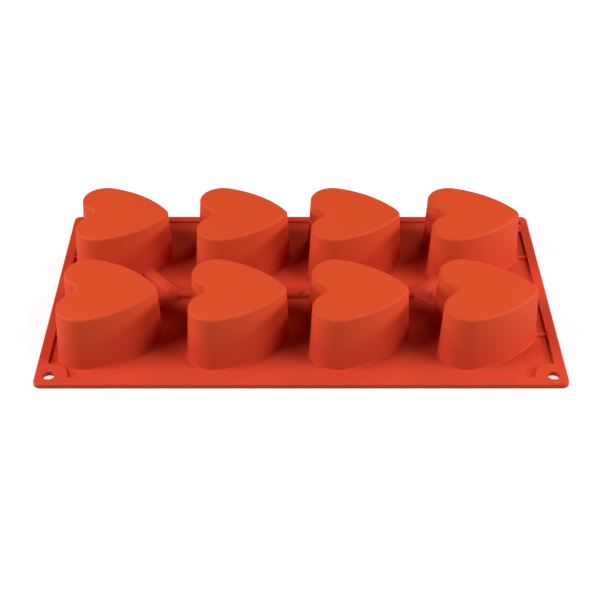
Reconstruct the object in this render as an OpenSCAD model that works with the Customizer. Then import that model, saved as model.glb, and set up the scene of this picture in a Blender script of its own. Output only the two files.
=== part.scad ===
/* [Sheet] */
// Length of the sheet, left to right
sheet_l = 300; // [296:1:330]
// Width of the sheet, front to back
sheet_w = 175; // [170:1:200]
// Radius of the sheet's four corners
sheet_corner_r = 4; // [3:0.5:7]
// Thickness of the web that joins the cups
web_t = 1.4; // [1:0.1:2.4]

/* [Rim] */
// Height of the rim above the table
rim_h = 3.2; // [2.6:0.1:5]
// Width of the rim
rim_w = 6; // [4:0.25:6.5]
// Rounding of the rim's outer top edge
rim_edge_r = 0.9; // [0.3:0.1:1.5]
// Radius of the rim's inner corners
rim_inner_r = 2; // [1:0.5:4]

/* [Corner holes] */
// Diameter of each corner hole
hole_d = 7; // [4:0.5:9]
// Distance from a hole's centre to the two edges beside it
hole_inset = 8; // [7:0.5:9]
// Radius of the raised pad round each hole
pad_r = 10.5; // [8:0.5:11]

/* [Heart outline at the closed face] */
// Length of the heart, from its lobes to its tip
heart_l = 55.2; // [50:0.1:58]
// Width of the heart across its lobes
heart_w = 61.2; // [56:0.1:64]
// Radius of the two lobes
lobe_r = 14.1; // [13:0.1:15]
// Radius of the two long sides
side_r = 64; // [55:1:90]
// Radius of the tip
tip_r = 6.8; // [4:0.1:8]
// Depth of the notch between the lobes
notch_d = 9; // [8:0.25:10]

/* [Cup] */
// Height of the cups' closed faces above the table
cup_h = 35.5; // [25:0.5:45]
// Draft of the cup walls, in degrees
draft = 3; // [1:0.25:4]
// Thickness of the cup walls
wall_t = 1.5; // [1.2:0.1:2]
// Thickness of the closed faces
face_t = 1.6; // [1.2:0.1:3]
// Rounding where a wall turns into the closed face, outside
edge_r = 1.6; // [0.8:0.1:2.4]
// Rounding at the bottom of each cavity
cavity_r = 2; // [1:0.1:4]
// Fillet where a cup rises from the web
root_r = 1.2; // [0.6:0.1:1.6]
// Easing of the cavities' mouths
lip_c = 0.6; // [0.2:0.1:0.8]

/* [Cup layout] */
// Distance between the two middle columns of hearts
middle_pitch = 70; // [68:0.1:71]
// Distance from a middle column to the outer one beside it
outer_pitch = 74.2; // [72:0.1:75]
// Distance between the two rows
row_pitch = 81.5; // [78:0.1:84]
// How far the whole layout sits to the right of the sheet's middle
layout_shift = -1.1; // [-1.5:0.1:1]

/* [Ribs] */
// Width of the forked rib at its foot
rib_w = 4.6; // [3:0.1:6]
// Height of the rib between the rows above the table
rib_h = 5.6; // [4.5:0.1:8]
// Height of the rib's four arms above the table
arm_h = 5.45; // [4.45:0.1:7.95]
// Distance from the left column to the left fork
fork_left = 34; // [31:0.5:37]
// Distance from the right column to the right fork
fork_right = 37.2; // [35:0.1:40]
// Width of the short ribs between the outer cups and the rim
tab_w = 2.4; // [1.6:0.1:3.5]

/* [Hidden] */
silicone = "orangered";

// Steps along each arc of half a heart: tip, side, lobe and notch
tip_steps = 3;
side_steps = 5;
lobe_steps = 13;
notch_steps = 4;
// Facets of the small roundings
edge_steps = 3;
cavity_steps = 2;
root_steps = 2;
rib_steps = 9;
// How far one solid is buried in the next
bury = 0.5;
$fn = 64;

// Centres of the heart's arcs: the upper lobe, the tip and the notch lie inside the outline's box
lobe_c = [lobe_r - heart_l / 2, heart_w / 2 - lobe_r];
tip_c = [heart_l / 2 - tip_r, 0];
notch_x = notch_d - heart_l / 2;
// The notch arc touches both lobes from outside
notch_gap = lobe_c.x - notch_x;
notch_r = (pow(notch_gap, 2) + pow(lobe_c.y, 2) - pow(lobe_r, 2)) / (2 * (lobe_r - notch_gap));
notch_c = [notch_x - notch_r, 0];
// The long side touches the lobe and the tip from outside, so its centre is side_r less each radius away
side_span = norm(tip_c - lobe_c);
side_along = (pow(side_r - lobe_r, 2) - pow(side_r - tip_r, 2) + pow(side_span, 2)) / (2 * side_span);
side_across = sqrt(pow(side_r - lobe_r, 2) - pow(side_along, 2));
side_dir = (tip_c - lobe_c) / side_span;
side_c = lobe_c + side_along * side_dir + side_across * [side_dir.y, -side_dir.x];
// Directions in which one arc passes into the next
tip_end = atan2(tip_c.y - side_c.y, tip_c.x - side_c.x);
side_end = atan2(lobe_c.y - side_c.y, lobe_c.x - side_c.x);
lobe_end = 180 + atan2(lobe_c.y - notch_c.y, lobe_c.x - notch_c.x);

// Centre lines of the four columns and the two rows
column_x = [for (side = [-1, 1], from = side < 0 ? [1, 0] : [0, 1])
    layout_shift + side * (middle_pitch / 2 + from * outer_pitch)];
row_y = [-row_pitch / 2, row_pitch / 2];
fork_x = [column_x[0] + fork_left, column_x[3] - fork_right];

// How much wider the outer wall stands at height z than at the closed face
function flare(z) = (cup_h - z) * tan(draft);

// Points along an arc, without its last one
function arc(c, r, from, to, steps) =
    [for (i = [0:steps - 1]) let (a = from + (to - from) * i / steps) c + r * [cos(a), sin(a)]];

// Upper half of the heart, offset outwards by d, from the tip to just short of the notch's bottom
function half_heart(d) = concat(
    arc(tip_c, tip_r + d, 0, tip_end, tip_steps),
    arc(side_c, side_r + d, tip_end, side_end, side_steps),
    arc(lobe_c, lobe_r + d, side_end, lobe_end, lobe_steps),
    arc(notch_c, notch_r - d, lobe_end - 180, 0, notch_steps));

// Whole heart, offset outwards by d, anticlockwise from the tip
function heart(d) =
    let (half = half_heart(d), n = len(half))
    concat(half, [[notch_x - d, 0]], [for (i = [n - 1:-1:1]) [half[i].x, -half[i].y]]);

// Sections [offset, height] of a quarter round, from its angle a0 to a1 about the section's point c
function quarter(c, r, a0, a1, steps) =
    [for (i = [0:steps]) let (a = a0 + (a1 - a0) * i / steps) c + r * [cos(a), sin(a)]];

// Lofts the heart through sections [offset, height], lowest first
module heart_loft(sections) {
    rings = [for (s = sections) [for (p = heart(s[0])) [p.x, p.y, s[1]]]];
    n = len(rings[0]);
    last = (len(rings) - 1) * n;
    walls = [for (k = [0:len(rings) - 2], i = [0:n - 1])
        let (j = (i + 1) % n) [k * n + i, k * n + n + i, k * n + n + j, k * n + j]];
    floor_face = [for (i = [0:n - 1]) i];
    top_face = concat([last], [for (i = [n - 1:-1:1]) last + i]);
    polyhedron(points = [for (r = rings, p = r) p], faces = concat([floor_face], walls, [top_face]));
}

// Outside of one cup, from inside the web up to the closed face
module cup_outside() {
    root_z = web_t + root_r;
    edge_z = cup_h - edge_r;
    root = quarter([flare(root_z) + root_r, root_z], root_r, 270, 180, root_steps);
    edge = quarter([flare(edge_z) - edge_r, edge_z], edge_r, 0, 90, edge_steps);
    color(silicone)
        heart_loft(concat([[root[0][0], web_t / 2]], root, edge));
}

// Cavity of one cup, open at the table side
module cup_cavity() {
    bend_z = cup_h - face_t - cavity_r;
    bend = quarter([flare(bend_z) - wall_t - cavity_r, bend_z], cavity_r, 0, 90, cavity_steps);
    below = [flare(-bury) - wall_t + lip_c + bury, -bury];
    lip = [flare(lip_c) - wall_t, lip_c];
    heart_loft(concat([below, lip], bend));
}

// Puts its children at every heart's centre
module at_hearts() {
    for (x = column_x, y = row_y)
        translate([x, y, 0]) children();
}

// Puts its children at every corner hole
module at_holes() {
    for (x = [-1, 1], y = [-1, 1])
        translate([x * (sheet_l / 2 - hole_inset), y * (sheet_w / 2 - hole_inset), 0]) children();
}

// Flat rectangle with round corners
module rounded_rectangle(l, w, r) {
    square([l - 2 * r, w], center = true);
    square([l, w - 2 * r], center = true);
    for (x = [-1, 1], y = [-1, 1])
        translate([x * (l / 2 - r), y * (w / 2 - r)]) circle(r);
}

// Full slab at the rim's height, its top edge rounded all round
module slab() {
    body_l = sheet_l - 2 * sheet_corner_r;
    body_w = sheet_w - 2 * sheet_corner_r;
    round_over = quarter([sheet_corner_r - rim_edge_r, rim_h - rim_edge_r], rim_edge_r, 0, 90, edge_steps);
    section = concat([[0, 0], [sheet_corner_r, 0]], round_over, [[0, rim_h]]);
    color(silicone) {
        translate([-body_l / 2, -body_w / 2, 0]) cube([body_l, body_w, rim_h]);
        for (turn = [0, 180]) rotate(turn) {
            translate([body_l / 2, body_w / 2, 0]) rotate([90, 0, 0])
                linear_extrude(body_w) polygon(section);
            translate([-body_l / 2, body_w / 2, 0]) rotate([90, 0, 90])
                linear_extrude(body_l) polygon(section);
            translate([body_l / 2, body_w / 2, 0])
                rotate_extrude(angle = 90) polygon(section);
            translate([-body_l / 2, body_w / 2, 0])
                rotate_extrude(angle = 90, start = 90) polygon(section);
        }
    }
}

// Hollow above the web, inside the rim and round the corner pads
module recess() {
    translate([0, 0, web_t])
        linear_extrude(rim_h)
            difference() {
                rounded_rectangle(sheet_l - 2 * rim_w, sheet_w - 2 * rim_w, rim_inner_r);
                at_holes() circle(pad_r);
            }
}

// Bar with a round top from one point to another, its foot buried in the web
module rib(from, to, w, h) {
    run = to - from;
    r = w / 2;
    // An odd number of steps ends the crown in a narrow flat, which lies at h
    crown = quarter([0, h - r * cos(90 / rib_steps)], r, 0, 180, rib_steps);
    color(silicone)
        translate([from.x, from.y, 0])
            rotate([90, 0, 90 + atan2(run.y, run.x)])
                linear_extrude(norm(run))
                    polygon(concat([[-r, web_t / 2], [r, web_t / 2]], crown));
}

// Rib between the rows, with an arm to each of the four outer cups near its ends
module forked_rib() {
    rib([fork_x[0], 0], [fork_x[1], 0], rib_w, rib_h);
    for (y = [-1, 1]) {
        // The left arms meet the outer hearts' long sides square on, and the right arms their lobes
        arm([fork_x[0], 0], [column_x[0] + side_c.x, y * (row_pitch / 2 - side_c.y)], side_r);
        arm([fork_x[1], 0], [column_x[3] + lobe_c.x, y * (row_pitch / 2 - lobe_c.y)], lobe_r);
    }
}

// Arm from the fork towards the centre c of a wall's arc, ending inside that wall
module arm(fork, c, r) {
    dir = (c - fork) / norm(c - fork);
    rib(fork - bury * dir, c - (r + flare(arm_h) - wall_t / 2) * dir, rib_w, arm_h);
}

// Short ribs on the hearts' own axes, from the outer columns' walls to the rim
module side_tabs() {
    rim_x = sheet_l / 2 - rim_w + bury;
    notch_wall = column_x[0] + notch_x - flare(web_t) + wall_t / 2;
    tip_wall = column_x[3] + heart_l / 2 + flare(rim_h) - wall_t / 2;
    for (y = row_y) {
        rib([-rim_x, y], [notch_wall, y], tab_w, rim_h);
        rib([tip_wall, y], [rim_x, y], tab_w, rim_h);
    }
}

// The whole mould, cups up, resting on the face that is filled in use
module mould() {
    color(silicone)
        difference() {
            union() {
                difference() {
                    slab();
                    recess();
                }
                forked_rib();
                side_tabs();
                at_hearts() cup_outside();
            }
            at_hearts() cup_cavity();
            at_holes() translate([0, 0, -bury]) cylinder(d = hole_d, h = rim_h + 2 * bury);
        }
}

mould();
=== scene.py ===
import math

import bpy
import numpy as np
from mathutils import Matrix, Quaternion, Vector
from mathutils.geometry import tessellate_polygon


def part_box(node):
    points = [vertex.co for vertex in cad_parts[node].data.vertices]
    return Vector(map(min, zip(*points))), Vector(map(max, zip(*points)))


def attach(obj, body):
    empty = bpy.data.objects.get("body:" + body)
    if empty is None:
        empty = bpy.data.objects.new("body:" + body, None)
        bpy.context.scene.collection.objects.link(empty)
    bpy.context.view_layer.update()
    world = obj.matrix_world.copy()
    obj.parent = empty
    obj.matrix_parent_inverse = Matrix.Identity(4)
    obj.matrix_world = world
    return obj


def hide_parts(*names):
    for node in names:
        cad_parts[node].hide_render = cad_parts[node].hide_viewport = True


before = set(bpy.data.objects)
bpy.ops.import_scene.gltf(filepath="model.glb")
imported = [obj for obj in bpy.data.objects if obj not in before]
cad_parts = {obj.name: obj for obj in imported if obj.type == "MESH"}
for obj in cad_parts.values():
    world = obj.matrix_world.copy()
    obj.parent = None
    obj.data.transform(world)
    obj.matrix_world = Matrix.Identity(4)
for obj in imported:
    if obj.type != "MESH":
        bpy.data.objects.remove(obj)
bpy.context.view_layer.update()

millimetre = 0.001
lowCorner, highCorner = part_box("mould")
sheetLength, sheetWidth, cupHeight = [
    (high - low) / millimetre for low, high in zip(lowCorner, highCorner)]
print("frame loaded")


# A socket that takes Python's operators: each one adds a Math node
class Wire:
    def __init__(self, tree, socket):
        self.tree, self.socket = tree, socket

    def node(self, kind, settings, values):
        made = self.tree.nodes.new(kind)
        for name, value in settings.items():
            setattr(made, name, value)
        for name, value in values.items():
            if isinstance(value, Wire):
                self.tree.links.new(value.socket, made.inputs[name])
            else:
                made.inputs[name].default_value = value
        return made

    def maths(self, operation, *values):
        made = self.node("ShaderNodeMath", {"operation": operation}, dict(enumerate(values)))
        return Wire(self.tree, made.outputs[0])

    def __add__(self, other):
        return self.maths("ADD", self, other)

    def __mul__(self, other):
        return self.maths("MULTIPLY", self, other)

    def __sub__(self, other):
        return self.maths("SUBTRACT", self, other)

    def __rsub__(self, other):
        return self.maths("SUBTRACT", other, self)

    def __truediv__(self, other):
        return self.maths("DIVIDE", self, other)

    def __rtruediv__(self, other):
        return self.maths("DIVIDE", other, self)

    def atMost(self, other):
        return self.maths("MINIMUM", self, other)

    __radd__, __rmul__ = __add__, __mul__


# Sheet and cups, in millimetres and degrees; the overall length, width and height come from the frame
size = {
    "webThickness": 1.4,
    "cornerRadius": 4.0,
    "bottomEdge": 0.3,
    "rimHeight": 3.2,
    "rimWidth": 6.0,
    "rimOuterEdge": 0.9,
    "rimInnerEdge": 0.2,
    "recessFillet": 0.1,
    "recessCorner": 0.6,
    "padRadius": 10.5,
    "holeInset": 8.0,
    "holeRadius": 3.5,
    "holeEdge": 0.3,
    "heartLength": 55.2,
    "heartWidth": 61.2,
    "lobeRadius": 14.1,
    "sideRadius": 64.0,
    "tipRadius": 6.8,
    "notchDepth": 9.0,
    "draft": 3.0,
    "wallThickness": 1.5,
    "faceThickness": 1.6,
    "faceEdge": 1.6,
    "cavityEdge": 2.0,
    "rootFillet": 0.6,
    "mouthEdge": 0.6,
    "middlePitch": 70.0,
    "outerPitch": 74.2,
    "rowPitch": 81.5,
    "layoutShift": -1.1,
}
# Forked rib and, as tabs, the short ribs to the rim; an arm's end reaches a little into the wall it meets
ribSizes = {
    "halfWidth": 3.9,
    "height": 5.6,
    "crownRise": 2.4,
    "footFillet": 0.3,
    "footSlant": 15,
    "footReach": 0.5,
    "endFlare": 1.0,
    "endTurns": (75, 55, 35, 15, 0),
    "bluntShare": 0.04,
    "crotchRadius": 3.5,
    "forkLeft": 34.0,
    "forkRight": 37.2,
    "tabHalfWidth": 1.3,
    "tabRise": 0.9,
    "tabFillet": 0.25,
    "tabBelowRim": 0.05,
    "intoWall": 1.1,
}
nubSizes = {"centre": (-0.65, -1.4), "radius": 2.0, "edge": 0.4, "bottom": 3.0, "top": 5.95}
pitSizes = {"centre": (126.40, -55.35, 23.79), "radius": 0.85, "steepest": 80}
# How many steps each round stretch and each wall is drawn in
steps = {
    "tip": 8,
    "side": 18,
    "lobe": 36,
    "notch": 10,
    "sheetCorner": 10,
    "recessCorner": 6,
    "pad": 20,
    "hole": 40,
    "bottomEdge": 3,
    "rimOuterEdge": 6,
    "rimInnerEdge": 4,
    "recessFillet": 3,
    "holeEdge": 3,
    "rootFillet": 6,
    "cupWall": 5,
    "faceEdge": 8,
    "cavityEdge": 6,
    "cavityWall": 4,
    "mouthEdge": 4,
    "crotch": 12,
    "footFillet": 5,
    "crown": 12,
    "nub": 32,
    "nubEdge": 4,
    "pit": 24,
    "pitTilt": 8,
}
flat = 0.06  # a narrow flat ring round each level face keeps its shading level
capShares = (0.75, 0.5, 0.25)
sharpAngle = 38


# Points on an arc: centre + radius (cos a, sin a), a going evenly from start to end, the last one left out
def arcPoints(centre, radius, start, end, count, last=False):
    angle = np.linspace(start, end, count + last, endpoint=last)[:, None]
    return np.asarray(centre) + radius * np.hstack([np.cos(angle), np.sin(angle)])


# Outline function of a circle about the origin: radius + offset at every angle
def circle(radius, count):
    return lambda offset: arcPoints((0, 0), radius + offset, 0, 2 * math.pi, count)


# Angle a of a vector: (cos a, sin a) points along it
def heading(vector):
    return math.atan2(vector[1], vector[0])


# The heart's four arcs for its upper half, as (centre, radius, sign, start, end, steps). Where two arcs
# meet, their centres and the meeting point lie on one line. So the notch's circle, centred on the axis,
# touches the lobe's from outside, and the side's centre lies side - lobe from the lobe's centre and
# side - tip from the tip's.
def heartArcs():
    length, width = size["heartLength"], size["heartWidth"]
    lobe, side, tip = size["lobeRadius"], size["sideRadius"], size["tipRadius"]
    lobeCentre = np.array([lobe - length / 2, width / 2 - lobe])
    tipCentre = np.array([length / 2 - tip, 0.0])
    notchX = size["notchDepth"] - length / 2
    gap = lobeCentre[0] - notchX
    notch = (gap ** 2 + lobeCentre[1] ** 2 - lobe ** 2) / (2 * (lobe - gap))
    notchCentre = np.array([notchX - notch, 0.0])
    span = np.linalg.norm(tipCentre - lobeCentre)
    along = ((side - lobe) ** 2 - (side - tip) ** 2 + span ** 2) / (2 * span)
    across = math.sqrt((side - lobe) ** 2 - along ** 2)
    direction = (tipCentre - lobeCentre) / span
    sideCentre = lobeCentre + along * direction + across * np.array([direction[1], -direction[0]])
    tipEnd, sideEnd = heading(tipCentre - sideCentre), heading(lobeCentre - sideCentre)
    lobeEnd = math.pi + heading(lobeCentre - notchCentre)
    return {
        "tip": (tipCentre, tip, 1, 0.0, tipEnd, steps["tip"]),
        "side": (sideCentre, side, 1, tipEnd, sideEnd, steps["side"]),
        "lobe": (lobeCentre, lobe, 1, sideEnd, lobeEnd, steps["lobe"]),
        "notch": (notchCentre, notch, -1, lobeEnd - math.pi, 0.0, steps["notch"]),
    }


# Closed heart, anticlockwise from its tip, every arc's radius grown or shrunk by the offset
def heartRing(offset):
    upper = np.vstack([
        arcPoints(centre, radius + sign * offset, start, end, count)
        for centre, radius, sign, start, end, count in heart.values()])
    bottom = heart["notch"][0] + [heart["notch"][1] - offset, 0.0]
    return np.vstack([upper, [bottom], upper[:0:-1] * [1, -1]])


# Copies one corner's points, given for the +X +Y corner, to all four, anticlockwise from it
def fourCorners(corner):
    return np.vstack([corner, corner[::-1] * [-1, 1], corner * [-1, -1], corner[::-1] * [1, -1]])


# Sheet's outline, inset all round: quarter circles of radius (corner radius - inset) about the corners'
# centres
def sheetRing(inset):
    radius = size["cornerRadius"]
    centre = [sheetLength / 2 - radius, sheetWidth / 2 - radius]
    return fourCorners(arcPoints(centre, radius - inset, 0, math.pi / 2, steps["sheetCorner"], last=True))


# Recess inside the rim, inset all round: straight walls, a small round corner, the pad's arc about the
# hole, another corner. A corner's centre lies its radius off its wall, and pad + corner radius from the hole.
def recessRing(inset):
    corner, pad = size["recessCorner"], size["padRadius"]
    hole = holeCentre
    wallX, wallY = sheetLength / 2 - size["rimWidth"], sheetWidth / 2 - size["rimWidth"]
    reach = pad + corner
    before = np.array([
        wallX - corner, hole[1] - math.sqrt(reach ** 2 - (wallX - corner - hole[0]) ** 2)])
    after = np.array([
        hole[0] - math.sqrt(reach ** 2 - (wallY - corner - hole[1]) ** 2), wallY - corner])
    turnIn, turnOut = heading(hole - before), heading(hole - after)
    padFrom, padTo = heading(before - hole), heading(after - hole)
    padTo -= 2 * math.pi * (padTo > padFrom)
    return fourCorners(np.vstack([
        arcPoints(before, corner - inset, 0, turnIn, steps["recessCorner"], last=True),
        arcPoints(hole, pad + inset, padFrom, padTo, steps["pad"])[1:],
        arcPoints(after, corner - inset, turnOut, math.pi / 2, steps["recessCorner"], last=True)]))


# Sections on a round stretch: (offset + r cos a, height + r sin a), a going evenly from start to end,
# in degrees
def quarterRound(offset, height, radius, start, end, count):
    angles = np.radians(np.linspace(start, end, count + 1))
    return [(offset + radius * math.cos(a), height + radius * math.sin(a)) for a in angles]


# A shell gathers points and faces; rings run anticlockwise, and the next ring lies so that
# (ring direction) x (step to the next ring) points out of the rubber
def newShell():
    return {"points": [], "faces": [], "count": 0}


# Adds points and gives their numbers, which run on from the last point of the shell
def addPoints(shell, points):
    index = shell["count"] + np.arange(len(points))
    shell["points"].append(points)
    shell["count"] += len(points)
    return index


# Quad (i, j) joins points j and j + 1 of ring i to those of ring i + 1
def ringQuads(rings):
    low, high = rings[:-1], rings[1:]
    return np.stack([low, np.roll(low, -1, 1), np.roll(high, -1, 1), high], -1).reshape(-1, 4)


# Wall through an outline's rings: at each section the outline at its offset, lifted to its height
def addWall(shell, outline, sections, centre=(0, 0)):
    rings = []
    for offset, height in sections:
        ring = outline(offset) + centre
        rings.append(addPoints(shell, np.column_stack([ring, np.full(len(ring), height)])))
    shell["faces"] += ringQuads(np.array(rings)).tolist()
    return rings[0], rings[-1]


# Level cap: the edge ring drawn in, centre + share (point - centre), and closed by one point at the middle
def addCap(shell, edge, centre, height, up):
    points = np.vstack(shell["points"])[edge]
    rings = [edge]
    for share in capShares:
        ring = points.copy()
        ring[:, :2] = centre + (points[:, :2] - centre) * share
        ring[:, 2] = height
        rings.append(addPoints(shell, ring))
    quads = ringQuads(np.array(rings))
    pole = addPoints(shell, np.array([[*centre, height]]))[0]
    last = rings[-1]
    fan = np.stack([last, np.roll(last, -1), np.full(len(last), pole)], -1)
    if not up:
        quads, fan = quads[:, ::-1], fan[:, ::-1]
    shell["faces"] += quads.tolist() + fan.tolist()


# Level face between an outer ring and the rings of its holes, in triangles. A triangle whose cross product
# of two sides points the wrong way is turned over.
def addLevelFace(shell, loops, up):
    points = np.vstack(shell["points"])
    triangles = np.array(tessellate_polygon([[Vector(p) for p in points[loop]] for loop in loops]))
    index = np.concatenate(loops)[triangles]
    corners = points[index][:, :, :2]
    first, second = corners[:, 1] - corners[:, 0], corners[:, 2] - corners[:, 0]
    turn = first[:, 0] * second[:, 1] - first[:, 1] * second[:, 0]
    wrong = (turn > 0) != up
    index[wrong] = index[wrong][:, ::-1]
    shell["faces"] += index[np.abs(turn) > 0].tolist()


# Level faces over a body's lowest and highest ring
def closeEnds(shell, low, high):
    addLevelFace(shell, [high], up=True)
    addLevelFace(shell, [low], up=False)


# Object that holds the data, at the origin
def newObject(name, data):
    made = bpy.data.objects.new(name, data)
    bpy.context.scene.collection.objects.link(made)
    return made


# The shell's mesh: its points in metres, its faces as they are
def shellObject(shell, name):
    mesh = bpy.data.meshes.new(name)
    mesh.from_pydata(np.vstack(shell["points"]) * millimetre, [], shell["faces"])
    mesh.update()
    return newObject(name, mesh)


heart = heartArcs()
holeCentre = np.array([sheetLength / 2 - size["holeInset"], sheetWidth / 2 - size["holeInset"]])
middle = size["middlePitch"] / 2
columns = size["layoutShift"] + np.array([
    -middle - size["outerPitch"], -middle, middle, middle + size["outerPitch"]])
rows = np.array([-size["rowPitch"] / 2, size["rowPitch"] / 2])
slope = math.tan(math.radians(size["draft"]))


# Outer wall's offset at a height, (cup height - height) tan(draft): it widens towards the table
def flare(height):
    return (cupHeight - height) * slope


# Outside of a cup: root fillet, drafted wall, rounding, level face
def addCup(shell, centre):
    root, edge, web = size["rootFillet"], size["faceEdge"], size["webThickness"]
    rootHeight, edgeHeight = web + root, cupHeight - edge
    rootOffset = flare(rootHeight) + root
    sections = [(rootOffset + flat, web)]
    sections += quarterRound(rootOffset, rootHeight, root, 270, 180, steps["rootFillet"])
    wallHeights = np.linspace(rootHeight, edgeHeight, steps["cupWall"] + 1)[1:-1]
    sections += [(flare(height), height) for height in wallHeights]
    sections += quarterRound(flare(edgeHeight) - edge, edgeHeight, edge, 0, 90, steps["faceEdge"])
    sections += [(flare(edgeHeight) - edge - flat, cupHeight)]
    first, last = addWall(shell, heartRing, sections, centre)
    addCap(shell, last, centre, cupHeight, up=True)
    return first


# Cavity of a cup, at the outer wall's offset less the wall: level bottom, rounding, drafted wall, round mouth
def addCavity(shell, centre):
    wall, bend, lip = size["wallThickness"], size["cavityEdge"], size["mouthEdge"]
    depth = cupHeight - size["faceThickness"]
    bendHeight = depth - bend
    bendOffset = flare(bendHeight) - wall - bend
    sections = [(bendOffset - flat, depth)]
    sections += quarterRound(bendOffset, bendHeight, bend, 90, 0, steps["cavityEdge"])
    wallHeights = np.linspace(bendHeight, lip, steps["cavityWall"] + 1)[1:-1]
    sections += [(flare(height) - wall, height) for height in wallHeights]
    mouth = flare(lip) - wall + lip
    sections += quarterRound(mouth, lip, lip, 180, 270, steps["mouthEdge"])
    sections += [(mouth + flat, 0.0)]
    first, last = addWall(shell, heartRing, sections, centre)
    addCap(shell, first, centre, depth, up=False)
    return last


# Outside of the sheet, from its underside up to the rim's top: the lowest and the highest ring
def addSheetEdge(shell):
    rim, under, outer = size["rimHeight"], size["bottomEdge"], size["rimOuterEdge"]
    sections = [(under + flat, 0.0)]
    sections += [(under - r, h) for r, h in quarterRound(0, under, under, 270, 360, steps["bottomEdge"])]
    sections += [(outer - r, h) for r, h in quarterRound(0, rim - outer, outer, 0, 90, steps["rimOuterEdge"])]
    sections += [(outer + flat, rim)]
    return addWall(shell, sheetRing, sections)


# Recess's wall, from the rim's top down to the web: the highest and the lowest ring
def addRecess(shell):
    web, rim = size["webThickness"], size["rimHeight"]
    inner, fillet = size["rimInnerEdge"], size["recessFillet"]
    sections = [(-inner - flat, rim)]
    sections += [(r - inner, h) for r, h in quarterRound(0, rim - inner, inner, 90, 0, steps["rimInnerEdge"])]
    sections += [
        (fillet + r, h) for r, h in quarterRound(0, web + fillet, fillet, 180, 270, steps["recessFillet"])]
    sections += [(fillet + flat, web)]
    return addWall(shell, recessRing, sections)


# A corner hole's wall, its two edges rounded, from the pad's top down: the highest and the lowest ring
def addHole(shell, centre):
    rim, edge = size["rimHeight"], size["holeEdge"]
    sections = [(edge + flat, rim)]
    sections += [(edge - r, h) for r, h in quarterRound(0, rim - edge, edge, 90, 0, steps["holeEdge"])]
    sections += [(edge - r, h) for r, h in quarterRound(0, edge, edge, 0, -90, steps["holeEdge"])]
    sections += [(edge + flat, 0.0)]
    return addWall(shell, circle(size["holeRadius"], steps["hole"]), sections, centre)


# Sheet: outer wall, rim, recess, pads, holes and the eight cups, all one closed surface
def sheetBody():
    shell = newShell()
    sheetUnder, rimOuter = addSheetEdge(shell)
    rimInner, webOuter = addRecess(shell)
    holes = [addHole(shell, holeCentre * (x, y)) for x in (-1, 1) for y in (-1, 1)]
    roots, mouths = [], []
    for x in columns:
        for y in rows:
            roots.append(addCup(shell, (x, y)))
            mouths.append(addCavity(shell, (x, y)))
    addLevelFace(shell, [webOuter] + roots, up=True)
    addLevelFace(shell, [rimOuter, rimInner] + [top for top, _ in holes], up=True)
    addLevelFace(shell, [sheetUnder] + mouths + [under for _, under in holes], up=False)
    return shellObject(shell, "siliconeMould")


# How much a bar's side swells at a distance from its end, which lies inside a wall: a quarter round of
# radius R about the wall's face, R - sqrt(R^2 - (R - t)^2) at a distance t from that face
def endSwell(distance):
    reach = ribSizes["endFlare"]
    nearest = ribSizes["bluntShare"] * reach
    left = np.clip(reach - np.maximum(distance - ribSizes["intoWall"], nearest), 0, reach)
    return reach - np.sqrt(reach ** 2 - left ** 2)


# Side of a bar from a fork out to its end and back along its other side, (half width + swelling) off the
# bar's middle line: the points, and each one's swelling. The flare's points lie at into + R (1 - sin a).
def barEnd(fork, direction, length, half):
    reach, into = ribSizes["endFlare"], ribSizes["intoWall"]
    turns = np.radians(ribSizes["endTurns"])
    away = np.concatenate([[0.0], into + reach * (1 - np.sin(turns))])
    across = np.array([-direction[1], direction[0]])
    swell = endSwell(away)
    ends = fork + np.outer(length - away, direction)
    right = ends - np.outer(half + swell, across)
    left = ends + np.outer(half + swell, across)
    return np.vstack([right[::-1], left]), np.concatenate([swell[::-1], swell])


# Arc of a crotch between two bars, its radius crotch - offset, about a centre on their bisector that lies
# (half width + crotch) / sin(opening / 2) from the fork
def crotchArc(fork, first, second, offset):
    half, crotch = ribSizes["halfWidth"], ribSizes["crotchRadius"]
    opening = (heading(second) - heading(first)) % (2 * math.pi)
    bisector = heading(first) + opening / 2
    reach = (half + crotch) / math.sin(opening / 2)
    centre = fork + reach * np.array([math.cos(bisector), math.sin(bisector)])
    start = heading(first) - math.pi / 2
    end = start - (math.pi - opening)
    made = arcPoints(centre, crotch - offset, start, end, steps["crotch"], last=True)
    return made, np.zeros(len(made))


# Forked rib's closed outline, anticlockwise, grown sideways by the offset
def ribRing(offset):
    half = ribSizes["halfWidth"] + offset
    ahead, behind = np.array([1.0, 0.0]), np.array([-1.0, 0.0])
    leftFork, rightFork = forks
    leftHigh, leftLow, rightLow, rightHigh = arms
    parts = [
        barEnd(leftFork, *leftHigh, half), crotchArc(leftFork, leftHigh[0], leftLow[0], offset),
        barEnd(leftFork, *leftLow, half), crotchArc(leftFork, leftLow[0], ahead, offset),
        crotchArc(rightFork, behind, rightLow[0], offset), barEnd(rightFork, *rightLow, half),
        crotchArc(rightFork, rightLow[0], rightHigh[0], offset), barEnd(rightFork, *rightHigh, half),
        crotchArc(rightFork, rightHigh[0], behind, offset),
        crotchArc(leftFork, ahead, leftHigh[0], offset)]
    return np.vstack([p for p, _ in parts]), np.concatenate([s for _, s in parts])


# Short straight bar between two walls, grown sideways by the offset
def tabRing(start, end, offset):
    reach = np.linalg.norm(end - start) / 2
    centre, direction = (start + end) / 2, (end - start) / (2 * reach)
    half = ribSizes["tabHalfWidth"] + offset
    parts = [barEnd(centre, direction, reach, half), barEnd(centre, -direction, reach, half)]
    return np.vstack([p for p, _ in parts]), np.concatenate([s for _, s in parts])


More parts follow.
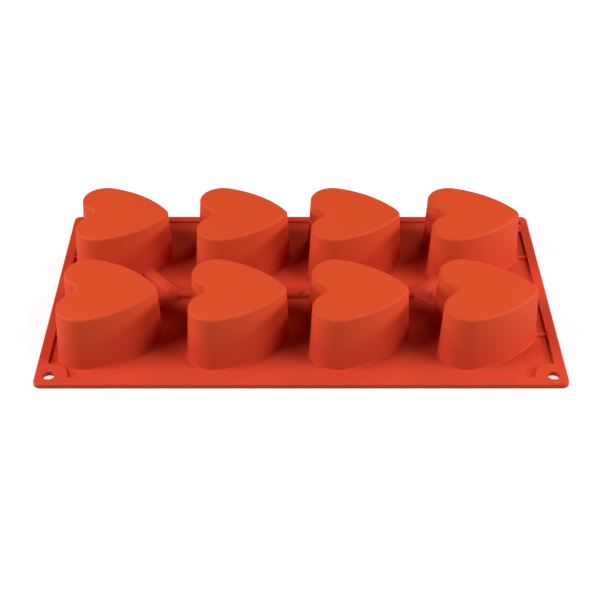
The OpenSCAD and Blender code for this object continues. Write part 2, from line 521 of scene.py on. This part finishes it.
# Bar's section as (offset, height): up from its buried foot, over the foot's fillet
# (f + f cos a, web + f + f sin a) and up its wall to the crown (h cos a - h, height - rise + rise sin a),
# h the half width. The fillet starts short of level by the slant, and goes on under the web at that slant.
def barSection(half, height, rise, fillet):
    web, slant, reach = size["webThickness"], ribSizes["footSlant"], ribSizes["footReach"]
    rounding = quarterRound(fillet, web + fillet, fillet, 270 - slant, 180, steps["footFillet"])
    footOffset, footHeight = rounding[0]
    sections = [
        (footOffset + reach, web / 2),
        (footOffset + reach, footHeight - reach * math.tan(math.radians(slant)))]
    crown = quarterRound(-half, 0, half, 0, 90, steps["crown"])
    sections += rounding + [
        (grow, height - rise + rise * lift / half) for grow, lift in crown if grow > flat - half]
    return sections + [(flat - half, height)]


# Closed bar from its outline's function and its section. Where its ends flare sideways they also rise, by
# swelling x (height over the web) / (bar's height over the web).
def addBar(shell, outline, section, height):
    web = size["webThickness"]
    rings = []
    for offset, level in section:
        ring, swell = outline(offset)
        lift = swell * max(0.0, (level - web) / (height - web))
        rings.append(addPoints(shell, np.column_stack([ring, level + lift])))
    shell["faces"] += ringQuads(np.array(rings)).tolist()
    closeEnds(shell, rings[0], rings[-1])


# The forked rib between the rows, and the short ribs from the outer cups to the rim
def ribBody():
    shell = newShell()
    height = ribSizes["height"]
    section = barSection(ribSizes["halfWidth"], height, ribSizes["crownRise"], ribSizes["footFillet"])
    addBar(shell, ribRing, section, height)
    height = size["rimHeight"] - ribSizes["tabBelowRim"]
    section = barSection(ribSizes["tabHalfWidth"], height, ribSizes["tabRise"], ribSizes["tabFillet"])
    inside = ribSizes["intoWall"]
    rimWall = sheetLength / 2 - size["rimWidth"] + inside
    notchWall = columns[0] + size["notchDepth"] - size["heartLength"] / 2 - flare(height) + inside
    tipWall = columns[3] + size["heartLength"] / 2 + flare(height) - inside
    for y in rows:
        for start, end in ((-rimWall, notchWall), (tipWall, rimWall)):
            low, high = np.array([start, y]), np.array([end, y])
            addBar(shell, lambda offset: tabRing(low, high, offset), section, height)
    return shellObject(shell, "ribs")


# Low round nub on the rib at the sheet's middle: a circle carried straight up to a rounded edge
def nubBody():
    shell = newShell()
    edge, top = nubSizes["edge"], nubSizes["top"]
    sections = [(0, nubSizes["bottom"])]
    sections += quarterRound(-edge, top - edge, edge, 0, 90, steps["nubEdge"])
    outline = circle(nubSizes["radius"], steps["nub"])
    closeEnds(shell, *addWall(shell, outline, sections, nubSizes["centre"]))
    return shellObject(shell, "nub")


# Little dimple's cutter, a ball about a point of the wall: rings of radius r cos t at heights r sin t
def pitBody():
    shell = newShell()
    centre, radius, steepest = pitSizes["centre"], pitSizes["radius"], pitSizes["steepest"]
    tilts = np.radians(np.linspace(-steepest, steepest, steps["pitTilt"] + 1))
    sections = [(radius * math.cos(tilt), centre[2] + radius * math.sin(tilt)) for tilt in tilts]
    closeEnds(shell, *addWall(shell, circle(0, steps["pit"]), sections, centre[:2]))
    return shellObject(shell, "pit")


# Joins or cuts with a closed body, and keeps the outcome as the piece's own mesh
def combine(piece, other, operation):
    modifier = piece.modifiers.new("combine", "BOOLEAN")
    modifier.operation, modifier.solver, modifier.object = operation, "EXACT", other
    graph = bpy.context.evaluated_depsgraph_get()
    combined = bpy.data.meshes.new_from_object(piece.evaluated_get(graph))
    piece.modifiers.clear()
    old, piece.data = piece.data, combined
    bpy.data.meshes.remove(old)
    bpy.data.meshes.remove(other.data)


# Arm from a fork square on to the wall whose arc has that centre and radius: its direction and its length,
# the distance to the centre less the wall's radius at the rib's height, plus its reach into the wall
def armTo(fork, centre, radius):
    span = np.linalg.norm(centre - fork)
    return (centre - fork) / span, span - radius - flare(ribSizes["height"]) + ribSizes["intoWall"]


# Fork's two arms to the cups of a column, square on to the heart's arc of that name; a turn of 1 goes to
# the back row, -1 to the front row
def armPair(fork, column, arc, turns):
    centre, radius = heart[arc][:2]
    return [
        armTo(fork, np.array([column + centre[0], turn * (rows[1] - centre[1])]), radius)
        for turn in turns]


mould = sheetBody()
print("sheet and cups made,", len(mould.data.polygons), "faces")

forks = np.array([[columns[0] + ribSizes["forkLeft"], 0.0], [columns[3] - ribSizes["forkRight"], 0.0]])
arms = armPair(forks[0], columns[0], "side", (1, -1)) + armPair(forks[1], columns[3], "lobe", (-1, 1))
combine(mould, ribBody(), "UNION")
print("ribs joined,", len(mould.data.polygons), "faces")

combine(mould, nubBody(), "UNION")
combine(mould, pitBody(), "DIFFERENCE")
mould.data.name = "siliconeMould"
mould.data.polygons.foreach_set("use_smooth", np.ones(len(mould.data.polygons), bool))
mould.data.set_sharp_from_angle(angle=math.radians(sharpAngle))
print("nub joined and pit cut,", len(mould.data.polygons), "faces")


# New material with its shader, and a wire that adds nodes to it
def newMaterial(name):
    material = bpy.data.materials.new(name)
    material.use_nodes = True
    return material, material.node_tree.nodes["Principled BSDF"], Wire(material.node_tree, None)


# Leads a wire into a socket
def lead(wire, target):
    wire.tree.links.new(wire.socket, target)


# Output of a node that needs no settings
def output(maker, kind, name, values):
    return Wire(maker.tree, maker.node(kind, {}, values).outputs[name])


# Mixes two colours: factor 0 gives the first, factor 1 the second, or their product where they multiply
def mixColours(maker, blend, factor, first, second):
    made = maker.node(
        "ShaderNodeMix", {"data_type": "RGBA", "blend_type": blend}, {0: factor, 6: first, 7: second})
    return Wire(maker.tree, made.outputs[2])


# Smooth matt silicone with a fine moulded grain: hardly mottled, with painted shade low down by the sheet:
# its colour darker and more crimson, from none above one height (in metres) to full painted shade below
# another
siliconeLook = {
    "colour": (0.60, 0.066, 0.018, 1.0),
    "darker": (0.58, 0.062, 0.017, 1.0),
    # painted shade low on the walls: a darker, more crimson tint
    "paintedShadeTint": (0.98, 0.81, 1.24, 1.0),
    "paintedShadeFullBelow": 0.012,
    "paintedShadeNoneAbove": 0.033,
    "mottle": {"Scale": 22.0, "Detail": 4.0, "Roughness": 0.6},
    "grain": {"Scale": 1500.0, "Detail": 2.0, "Roughness": 0.5},
    "ripple": {"Scale": 90.0, "Detail": 1.0, "Roughness": 0.4},
    "grainBump": {"Strength": 0.16, "Distance": 0.0001},
    "rippleBump": {"Strength": 0.12, "Distance": 0.0004},
    "roughness": 0.55,
    "roughnessSpread": 0.07,
    "specular": 0.12,
}


# Colour = mix(darker, colour, mottle) times the painted shade tint by (high - z) / (high - low), painted
# shade on the walls low down;
# roughness = middle + spread (mottle - 1/2 + grain - 1/2); two bumps, the grain's and the ripple's
def siliconeMaterial():
    material, shader, maker = newMaterial("silicone")
    place = output(maker, "ShaderNodeTexCoord", "Object", {})
    mottle, grain, ripple = [
        output(maker, "ShaderNodeTexNoise", "Fac", {"Vector": place, **siliconeLook[name]})
        for name in ("mottle", "grain", "ripple")]
    tint = mixColours(maker, "MIX", mottle, siliconeLook["darker"], siliconeLook["colour"])
    height = output(maker, "ShaderNodeSeparateXYZ", "Z", {"Vector": place})
    low, high = siliconeLook["paintedShadeFullBelow"], siliconeLook["paintedShadeNoneAbove"]
    depth = (high - height) / (high - low)
    # painted shade: the tint darkens the colour and makes it more crimson towards the web
    paintedShadeColour = mixColours(maker, "MULTIPLY", depth, tint, siliconeLook["paintedShadeTint"])
    lead(paintedShadeColour, shader.inputs["Base Color"])
    spread = siliconeLook["roughnessSpread"]
    rough = siliconeLook["roughness"] + spread * (mottle - 0.5) + spread * (grain - 0.5)
    lead(rough, shader.inputs["Roughness"])
    shader.inputs["Specular IOR Level"].default_value = siliconeLook["specular"]
    fine = output(maker, "ShaderNodeBump", "Normal", {"Height": grain, **siliconeLook["grainBump"]})
    broad = output(
        maker, "ShaderNodeBump", "Normal", {"Height": ripple, "Normal": fine, **siliconeLook["rippleBump"]})
    lead(broad, shader.inputs["Normal"])
    return material


mould.data.materials.clear()
mould.data.materials.append(siliconeMaterial())
print("material made")

# Pale floor that a camera ray sees brighter than its light makes it, and more so further away, so it is
# white where nothing shades it; in metres
floorLook = {
    "colour": (0.4, 0.4, 0.4, 1.0),
    "whitening": 0.62,
    "farWhitening": 1.0,
    "farAway": 0.8,
    "halfWidth": 3.0,
    "below": 0.0002,
}


# Floor's material: to the camera it glows by near + (far - near) min(1, r^2 / R^2) at a distance r
def floorMaterial():
    material, shader, maker = newMaterial("floor")
    shader.inputs["Base Color"].default_value = floorLook["colour"]
    shader.inputs["Roughness"].default_value = 1.0
    shader.inputs["Specular IOR Level"].default_value = 0.0
    shader.inputs["Emission Color"].default_value = (1.0, 1.0, 1.0, 1.0)
    seen = output(maker, "ShaderNodeLightPath", "Is Camera Ray", {})
    place = output(maker, "ShaderNodeTexCoord", "Object", {})
    x, y = [output(maker, "ShaderNodeSeparateXYZ", name, {"Vector": place}) for name in ("X", "Y")]
    near, far = floorLook["whitening"], floorLook["farWhitening"]
    away = ((x * x + y * y) / floorLook["farAway"] ** 2).atMost(1.0)
    lead(seen * (near + (far - near) * away), shader.inputs["Emission Strength"])
    return material


# Square plane a little under the mould
def floorPlane():
    half, level = floorLook["halfWidth"], -floorLook["below"]
    corners = [(-half, -half, level), (half, -half, level), (half, half, level), (-half, half, level)]
    mesh = bpy.data.meshes.new("floor")
    mesh.from_pydata(corners, [], [(0, 1, 2, 3)])
    mesh.materials.append(floorMaterial())
    return newObject("floor", mesh)


floor = floorPlane()

# White to the camera, while to everything else the sky gives no light of its own
skyLevel = {"toCamera": 1.0, "toThings": 0.0}
world = bpy.data.worlds.new("world")
world.use_nodes = True
bpy.context.scene.world = world
background = world.node_tree.nodes["Background"]
background.inputs["Color"].default_value = (1.0, 1.0, 1.0, 1.0)
seen = output(Wire(world.node_tree, None), "ShaderNodeLightPath", "Is Camera Ray", {})
level = skyLevel["toThings"] + seen * (skyLevel["toCamera"] - skyLevel["toThings"])
lead(level, background.inputs["Strength"])

# Softboxes: where each stands, in degrees, its size in metres, the radiance of its face, and whether it
# also shows as a sheen
softboxes = {
    "leftLow": {
        "azimuth": 285, "elevation": 20, "width": 0.9, "height": 0.2, "radiance": 14.2, "glossy": True},
    "leftHigh": {
        "azimuth": 285, "elevation": 44, "width": 0.5, "height": 0.2, "radiance": 26.5, "glossy": True},
    "rightLow": {
        "azimuth": 79, "elevation": 20, "width": 0.9, "height": 0.2, "radiance": 18.5, "glossy": True},
    "rightHigh": {
        "azimuth": 62, "elevation": 44, "width": 0.5, "height": 0.2, "radiance": 17.5, "glossy": True},
    "behindRight": {
        "azimuth": 150, "elevation": 32, "width": 0.5, "height": 0.5, "radiance": 6.4, "glossy": False},
}
softboxDistance = 1.2


# Softbox that faces the mould from distance (cos e sin a, -cos e cos a, sin e), so azimuth a is 0 in front
# and 90 to the right; its energy is radiance x pi x its face
def softbox(name, azimuth, elevation, width, height, radiance, glossy):
    lamp = bpy.data.lights.new(name, "AREA")
    lamp.shape, lamp.size, lamp.size_y = "RECTANGLE", width, height
    lamp.energy = radiance * math.pi * width * height
    around, up = math.radians(azimuth), math.radians(elevation)
    direction = Vector((math.cos(up) * math.sin(around), -math.cos(up) * math.cos(around), math.sin(up)))
    made = newObject(name, lamp)
    made.location = softboxDistance * direction
    made.rotation_mode = "QUATERNION"
    made.rotation_quaternion = (-made.location).to_track_quat("-Z", "Y")
    made.visible_camera, made.visible_glossy = False, glossy


for name, box in softboxes.items():
    softbox(name, **box)
print("floor, sky and lights made")

# Camera: lens and sensor in millimetres, places in metres, roll in degrees
cameraPlace = {
    "focalLength": 77.645,
    "sensorWidth": 36.0,
    "location": (-0.002144, -0.643410, 0.464130),
    "target": (-0.000580, -0.003135, 0.0),
    "roll": 0.083,
}
cameraData = bpy.data.cameras.new("camera")
cameraData.lens, cameraData.sensor_width = cameraPlace["focalLength"], cameraPlace["sensorWidth"]
camera = newObject("camera", cameraData)
camera.location = cameraPlace["location"]
gaze = Vector(cameraPlace["target"]) - camera.location
roll = Quaternion((0, 0, 1), math.radians(cameraPlace["roll"]))
camera.rotation_mode = "QUATERNION"
camera.rotation_quaternion = gaze.to_track_quat("-Z", "Y") @ roll
bpy.context.scene.camera = camera
bpy.context.scene.view_settings.view_transform = "Standard"

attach(mould, "root")
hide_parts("mould")
